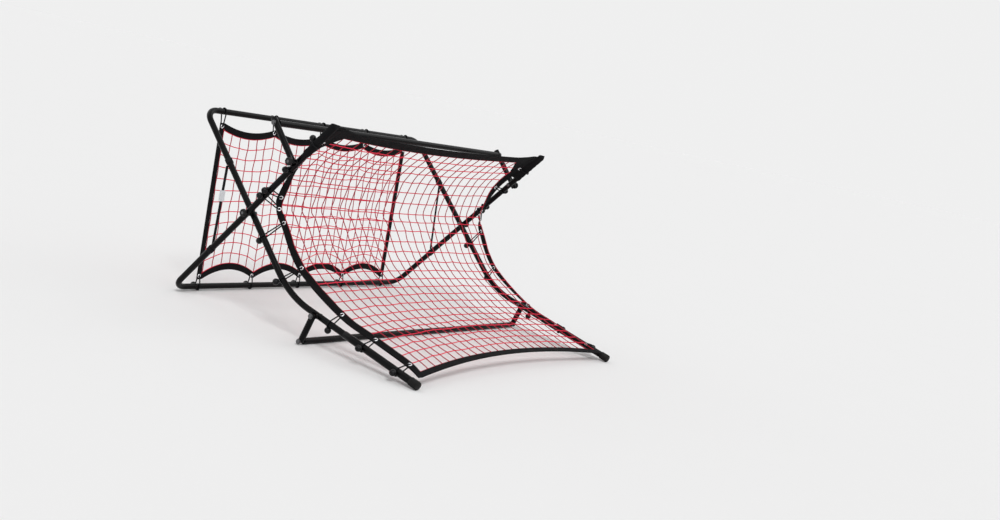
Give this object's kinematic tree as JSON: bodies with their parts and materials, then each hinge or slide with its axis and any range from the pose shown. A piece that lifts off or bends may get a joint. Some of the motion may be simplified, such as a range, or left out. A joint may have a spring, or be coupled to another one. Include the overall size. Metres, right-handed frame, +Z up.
{
  "type": "soccer rebounder",
  "caption": "Folding soccer rebounder: two crossed black tube frames with a concave front net and a flat rear net on elastic ball ties.",
  "frame": {"origin": "midpoint of the bounding box on the ground", "axes": "+X to the right across the rebounder, the front net faces -Y, +Z up"},
  "size_m": [1.1896, 1.0555, 0.6408],
  "materials": {
    "tube_paint": "gloss black powder coat",
    "webbing": "matt woven webbing",
    "net_string": "twisted red string",
    "elastic": "elastic cord and moulded ball",
    "zinc": "zinc plated",
    "plastic": "matt nylon",
    "rubber": "moulded rubber"
  },
  "bodies": {
    "brace_frame": {"top_rail": "tube_paint", "brace_leg_left": "tube_paint", "brace_leg_right": "tube_paint", "front_leg_left": "tube_paint", "front_leg_right": "tube_paint", "front_cap_left": "rubber", "front_cap_right": "rubber", "scissor_pivot_bolt_left": "zinc", "scissor_pivot_bolt_right": "zinc", "scissor_washer_left": "plastic", "scissor_washer_right": "plastic", "foot_pivot_bolt_left": "zinc", "foot_pivot_bolt_right": "zinc", "foot_washer_left": "plastic", "foot_washer_right": "plastic", "front_net": "net_string", "front_band_bottom": "webbing", "front_band_left": "webbing", "front_band_right": "webbing", "rear_net": "net_string", "rear_hem_left": "webbing", "rear_hem_right": "webbing", "rear_band_top": "webbing", "top_tie_1": "elastic", "top_tie_2": "elastic", "top_tie_3": "elastic", "top_tie_4": "elastic", "top_tie_5": "elastic", "check_strap_left": "webbing", "check_strap_right": "webbing"},
    "upright_frame": {"base_rail": "tube_paint", "upright_left": "tube_paint", "upright_right": "tube_paint", "corner_pocket_left": "webbing", "corner_pocket_right": "webbing", "front_band_top": "webbing", "rear_band_base": "webbing", "base_tie_1": "elastic", "base_tie_2": "elastic", "base_tie_3": "elastic", "base_tie_4": "elastic", "base_tie_5": "elastic", "spreader_pivot_bolt_left": "zinc", "spreader_pivot_bolt_right": "zinc", "spreader_washer_left": "plastic", "spreader_washer_right": "plastic"},
    "foot": {"foot_arm_left": "tube_paint", "foot_arm_right": "tube_paint", "foot_cross_tube": "tube_paint", "foot_tube_bolt_left": "zinc", "foot_tube_bolt_right": "zinc"},
    "spreader": {"spreader_arm_left": "tube_paint", "spreader_arm_right": "tube_paint", "spreader_cross_tube": "tube_paint", "spreader_tube_bolt_left": "zinc", "spreader_tube_bolt_right": "zinc"}
  },
  "joints": [
    {"name": "scissor_fold", "type": "hinge", "parent": "brace_frame", "child": "upright_frame", "pos_m": [0, 0.21238, 0.31557], "axis": [1, 0, 0], "range_deg": [0, 72], "deforming": ["front_net", "front_band_left", "front_band_right", "rear_net", "rear_hem_left", "rear_hem_right", "check_strap_left", "check_strap_right"]},
    {"name": "foot_fold", "type": "hinge", "parent": "brace_frame", "child": "foot", "pos_m": [0, -0.12412, 0.09263], "axis": [1, 0, 0], "range_deg": [-82, 0]},
    {"name": "spreader_fold", "type": "hinge", "parent": "upright_frame", "child": "spreader", "pos_m": [0, 0.04599, 0.50583], "axis": [1, 0, 0], "range_deg": [0, 75]}
  ]
}
